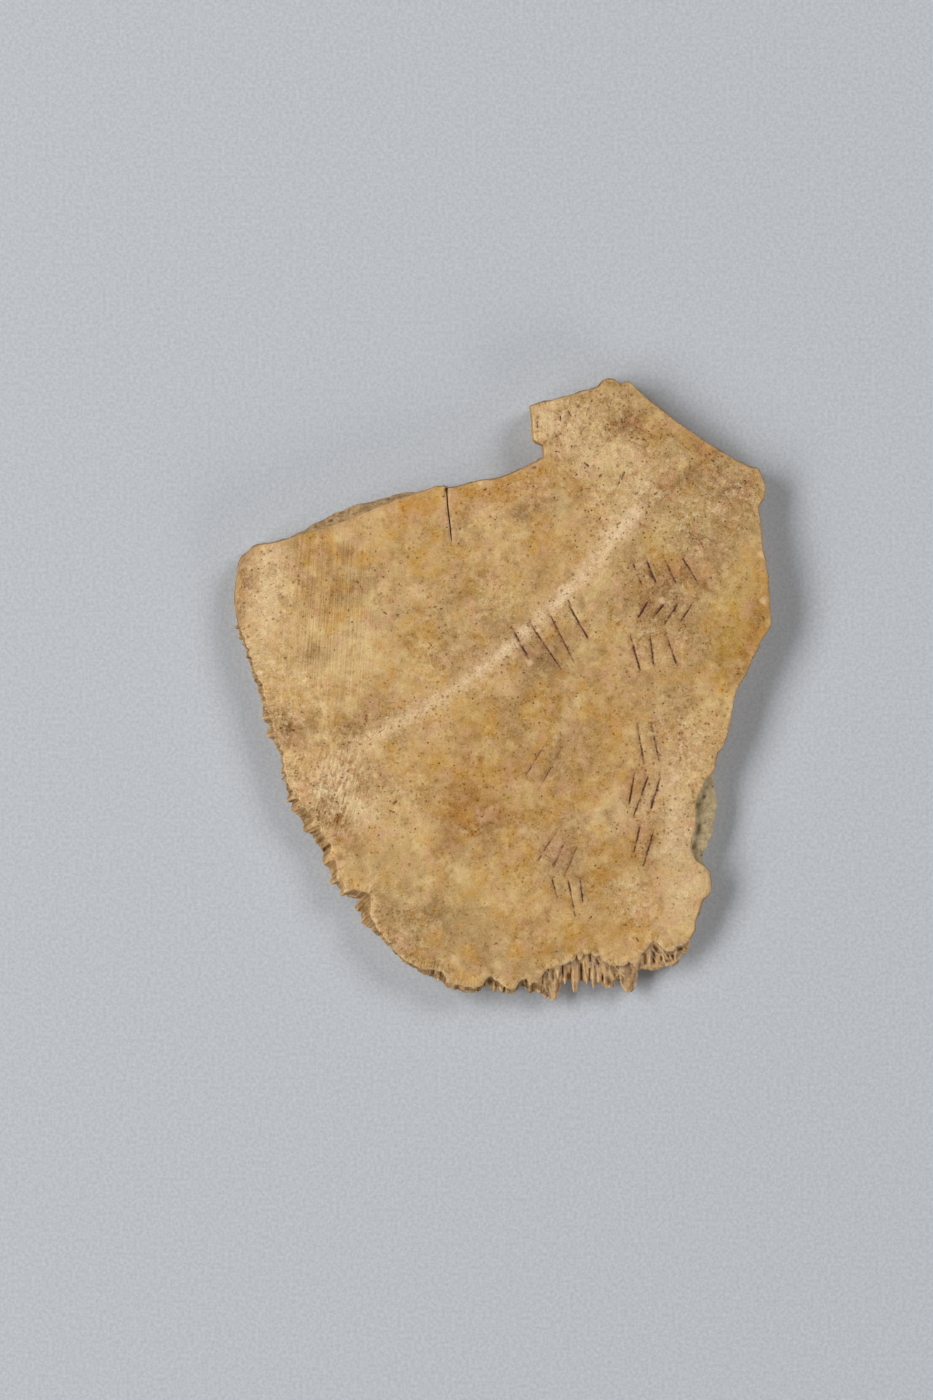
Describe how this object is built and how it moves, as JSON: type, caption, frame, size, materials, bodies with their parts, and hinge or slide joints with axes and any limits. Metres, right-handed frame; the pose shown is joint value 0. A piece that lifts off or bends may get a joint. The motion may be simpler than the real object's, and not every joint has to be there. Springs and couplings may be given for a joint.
{
  "type": "oracle bone",
  "caption": "Broken plate of turtle undershell with a toothed suture, rows of shallow incised strokes on its face and heat hollows in its underside.",
  "frame": {"origin": "on the surface the plate lies on, under the middle of its outline", "axes": "+X across the plate, +Y along its length towards the narrow lobe, +Z out of the inscribed face"},
  "size_m": [0.0538, 0.0624, 0.0045],
  "materials": {
    "aged_bone": "satin aged bone, tan to amber, with brown stains"
  },
  "bodies": {
    "root": {"plastron_fragment": "aged_bone"}
  },
  "joints": []
}
